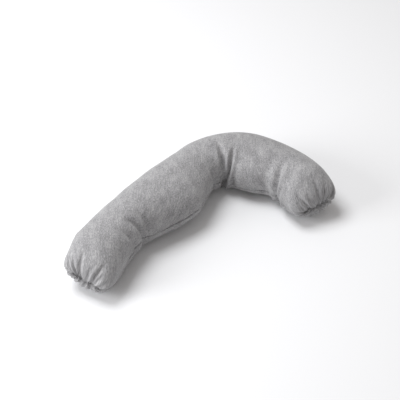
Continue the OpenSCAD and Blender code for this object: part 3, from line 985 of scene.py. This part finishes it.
# Zip tapes: two woven polyester tapes sewn inside the panels' folded edges, each with a
# row of stitches beside its coil.
TAPE_WIDTH = 0.010
TAPE_DEPTH = 0.0015
TAPE_THICKNESS = 0.0005
TAPE_OVERRUN = 0.012
TAPE_INSET = 0.002
CHAIN_WIDTH = 0.0044
TAPE_STITCH = 0.0019
TAPE_STITCH_PITCH = 0.0024
TAPE_STITCH_LINE = 0.0028
TAPE_STITCH_PROUD = 0.0001
TAPE_THREAD = 0.00035
tape_arcs = np.linspace(ZIP_FROM + TAPE_INSET, ZIP_TO + TAPE_OVERRUN, 220)
tape_ups = np.linspace(CHAIN_WIDTH / 4, CHAIN_WIDTH / 4 + TAPE_WIDTH, 9)
tape_weave = woven_material(
    "zip_tape", [(0.3, (0.17, 0.17, 0.175)), (0.7, (0.30, 0.30, 0.31))],
    thread_width=0.00045, bump=0.8, roughness=0.75, sheen=0.25)
tape_thread = thread_material("zip_tape_thread", (0.26, 0.26, 0.27), 2600)
tape_flat = np.dstack(np.meshgrid(tape_arcs, tape_ups, indexing="ij"))
for side, half in ((1, "upper"), (-1, "lower")):
    tape_points = np.array([[back_point(a, -TAPE_DEPTH, side * up) for up in tape_ups]
                            for a in tape_arcs])
    tape = grid_piece("zip_tape_" + half + "_piece", tape_points, tape_flat, -side)
    tape.data.materials.append(tape_weave)
    with_thickness(tape, TAPE_THICKNESS)
    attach(tape, "long_arm")
    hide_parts("zip_tape_" + half)
    stitch_line = [back_point(a, -TAPE_DEPTH + TAPE_STITCH_PROUD, side * TAPE_STITCH_LINE)
                   for a in tape_arcs[2:-2]]
    tape_stitches = row_along(
        "zip_tape_stitches_" + half, [stitch_line], stitch_unit(TAPE_STITCH, TAPE_THREAD),
        pitch=TAPE_STITCH_PITCH, lean=0.0, askew=0.05, finish=tape_thread)
    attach(tape_stitches, "long_arm")


# Zip coils: each is one nylon filament wound into a row of narrow loops, sewn on its tape,
# whose heads lock between those of the other coil.
COIL_PITCH = 0.0013
COIL_WIRE = 0.00052
COIL_DEPTH = 0.0016
COIL_REACH = 0.0022
COIL_INSET = 0.003
COIL_PROUD = 0.0003
SLIDER_LENGTH = 0.009
coil_end = ZIP_TO - SLIDER_LENGTH / 2
coil_arcs = np.linspace(ZIP_FROM + COIL_INSET, coil_end, 300)
nylon, nylon_tree, nylon_shader = principled("zip_nylon")
nylon_place = place_on_object(nylon_tree)
nylon_grain = noise_node(nylon_tree, nylon_place, (700, 700, 700), 3.0)
link(nylon_tree, ramp_node(nylon_tree, nylon_grain, [
    (0.3, (0.22, 0.22, 0.225)), (0.7, (0.33, 0.33, 0.335))]), nylon_shader.inputs["Base Color"])
link(nylon_tree, bump_node(nylon_tree, nylon_grain, 0.15, 0.0001), nylon_shader.inputs["Normal"])
nylon_shader.inputs["Roughness"].default_value = 0.38
for side, half in ((1, "upper"), (-1, "lower")):
    out = COIL_PROUD - COIL_DEPTH / 2
    middle = [back_point(a + (side - 1) * COIL_PITCH / 4, out, side * COIL_REACH / 2)
              for a in coil_arcs]
    coil = row_along(
        "zip_coil_" + half + "_piece", [middle],
        ring_unit(COIL_DEPTH, COIL_REACH, COIL_WIRE, sides=10),
        pitch=COIL_PITCH, lean=0.22, askew=0.02, finish=nylon)
    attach(coil, "long_arm")
    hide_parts("zip_coil_" + half)


# Zip metal: stops, slider and pull tab are die-cast zinc in satin nickel-grey enamel, with
# a finely grained surface rubbed smoother in places.
cast_zinc, cast_tree, cast_shader = principled("zip_metal")
cast_place = place_on_object(cast_tree)
cast_grain = noise_node(cast_tree, cast_place, (1500, 1500, 1500), 3.0)
cast_wear = noise_node(cast_tree, cast_place, (160, 160, 160), 4.0)
link(cast_tree, ramp_node(cast_tree, cast_wear, [
    (0.35, (0.34, 0.34, 0.345)), (0.65, (0.46, 0.46, 0.465))]), cast_shader.inputs["Base Color"])
link(cast_tree, math_node(cast_tree, "MULTIPLY_ADD", cast_wear, 0.25, 0.22),
     cast_shader.inputs["Roughness"])
link(cast_tree, bump_node(cast_tree, cast_grain, 0.2, 0.00005), cast_shader.inputs["Normal"])
cast_shader.inputs["Metallic"].default_value = 0.85
for name in ("zip_top_stops", "zip_bottom_stop", "zip_slider", "zip_pull"):
    node = frame["nodes"][name]
    node.data.materials.clear()
    node.data.materials.append(cast_zinc)


# Inner case: two panels of plain unbleached cotton, sewn all round, that hold the beads.
# They follow the cover's shape more softly, and only the zip lets them out.
CASE_DEPTH = 0.0075
CASE_THICKNESS = 0.0003
CORE_PASSES = 14
GAP_SPREAD_PASSES = 4
GAP_SMOOTH_PASSES = 6
FLOOR_SHARE = 0.18


def softer_ring(depth, trim):
    """A smoother ring grid a depth inside the cover's, or less than that over the floor."""
    core = ring[trim:-trim:2, ::2].copy()
    outside = ring[trim:-trim:2, ::2]
    mirror = -np.arange(core.shape[1]) % core.shape[1]
    for _ in range(CORE_PASSES):
        longer = np.concatenate([core[1:2, mirror], core, core[-2:-1, mirror]])
        core = (longer[:-2] + 2 * core + longer[2:]) / 4
        core = (np.roll(core, 1, 1) + 2 * core + np.roll(core, -1, 1)) / 4
    low = outward_of(core)
    gap = np.maximum(0, ((core - outside) * low).sum(2))
    for _ in range(GAP_SPREAD_PASSES):
        gap = np.maximum.reduce([gap, np.roll(gap, 1, 1), np.roll(gap, -1, 1)])
        gap[1:-1] = np.maximum.reduce([gap[1:-1], gap[:-2], gap[2:]])
    for _ in range(GAP_SMOOTH_PASSES):
        gap = (np.roll(gap, 1, 1) + 2 * gap + np.roll(gap, -1, 1)) / 4
        gap[1:-1] = (gap[:-2] + 2 * gap[1:-1] + gap[2:]) / 4
    core = core - low * (depth + gap)[:, :, None]
    for end in (0, -1):
        core[end] = (core[end] + core[end, mirror]) / 2
    core[:, :, 2] = np.maximum(core[:, :, 2], depth * FLOOR_SHARE)
    return core


case_ring = softer_ring(CASE_DEPTH, trim=4)
cotton = woven_material(
    "cotton_case", [(0.3, (0.66, 0.62, 0.53)), (0.7, (0.84, 0.81, 0.74))],
    thread_width=0.0005, bump=0.6, roughness=0.9, sheen=0.2)
for side, half, points in zip((1, -1), ("top", "bottom"), halves(case_ring)):
    from_back = seam_distances(points)[1]
    lengthwise = np.linalg.norm(np.diff(points[:, points.shape[1] // 2], axis=0), axis=1)
    lengthwise = np.repeat(np.r_[0, np.cumsum(lengthwise)][:, None], points.shape[1], 1)
    panel = grid_piece("inner_case_" + half + "_piece", points,
                       np.dstack([lengthwise, from_back]), side)
    panel.data.materials.append(cotton)
    with_thickness(panel, CASE_THICKNESS)
    bends_at_waist(panel)
    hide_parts("inner_case_" + half)


# Inner case seam: a narrow overlocked rib round the case, where its edges are joined.
RIB_WIDTH = 0.0016
RIB_THREAD = 0.0005
RIB_PITCH = 0.0022
case_top = halves(case_ring)[0]
case_seam = np.concatenate([
    case_top[:, -1], case_top[-1, -2:0:-1], case_top[::-1, 0], case_top[0, 1:-1]])
case_seam = np.concatenate([case_seam, case_seam[:2]])
rib_thread = thread_material("overlock_thread", (0.80, 0.77, 0.70), 1800)
rib = row_along(
    "inner_case_seam_piece", [case_seam],
    ring_unit(RIB_WIDTH, RIB_WIDTH * 1.6, RIB_THREAD, sides=8),
    pitch=RIB_PITCH, lean=0.5, askew=0.1, finish=rib_thread)
bends_at_waist(rib)
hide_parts("inner_case_seam")


# Bead filling: loose expanded polystyrene beads, in two bodies that meet at the waist.
# Each body is drawn as one knobbly mass, with painted shade in the gaps between its beads.
BEAD_DEPTH = 0.0098
BEAD_SIZE = 0.0035
BEAD_BUMP = 0.0005
MERGE_DISTANCE = 0.00005
bead_ring = softer_ring(BEAD_DEPTH, trim=8)
bead_white, bead_tree, bead_shader = principled("eps_beads")
bead_place = place_on_object(bead_tree)
cells = bead_tree.nodes.new("ShaderNodeTexVoronoi")
cells.inputs["Scale"].default_value = 1 / BEAD_SIZE
link(bead_tree, bead_place, cells.inputs["Vector"])
# The colour darkens from each cell's middle to its edge: painted shade in the gaps between the
# beads, which are white all over.
link(bead_tree, ramp_node(bead_tree, cells.outputs["Distance"], [
    (0.2, (0.93, 0.93, 0.92)), (0.6, (0.62, 0.62, 0.61))]), bead_shader.inputs["Base Color"])
bead_height = math_node(bead_tree, "SUBTRACT", 1.0, cells.outputs["Distance"])
link(bead_tree, bump_node(bead_tree, bead_height, 1.0, 0.001), bead_shader.inputs["Normal"])
bead_shader.inputs["Roughness"].default_value = 0.7
waist_row = int(round(waist_middle / MIDDLE_LENGTH * (len(bead_ring) - 1)))
bead_low = outward_of(bead_ring)
knobbly = np.array([noise(Vector(point) / BEAD_SIZE) for point in bead_ring.reshape(-1, 3)])
knobbly = knobbly.reshape(bead_ring.shape[:2] + (1,))
knobbly[0] = knobbly[-1] = 0
bead_ring = bead_ring + bead_low * (BEAD_BUMP * knobbly)
around = bead_ring.shape[1]
for name, first, last in (("bead_fill_left", 0, waist_row),
                          ("bead_fill_right", waist_row + 1, len(bead_ring) - 1)):
    rings = bead_ring[first:last + 1]
    points = [tuple(point) for point in rings.reshape(-1, 3)]
    quads = []
    for k in range(len(rings) - 1):
        for j in range(around):
            beside = (j + 1) % around
            quads.append((k * around + j, k * around + beside,
                          (k + 1) * around + beside, (k + 1) * around + j))
    for end, order in ((0, 1), (len(rings) - 1, -1)):
        points.append(tuple(rings[end].mean(axis=0)))
        centre = len(points) - 1
        for j in range(around):
            face = (end * around + (j + 1) % around, end * around + j, centre)
            quads.append(face[::order])
    mesh = bpy.data.meshes.new(name + "_piece")
    mesh.from_pydata(points, [], quads)
    mesh.materials.append(bead_white)
    mesh.polygons.foreach_set("use_smooth", [True] * len(mesh.polygons))
    beads = placed(name + "_piece", mesh)
    shape = bmesh.new()
    shape.from_mesh(mesh)
    bmesh.ops.remove_doubles(shape, verts=shape.verts, dist=MERGE_DISTANCE)
    bmesh.ops.recalc_face_normals(shape, faces=shape.faces)
    shape.to_mesh(mesh)
    shape.free()
    bends_at_waist(beads)
    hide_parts(name)
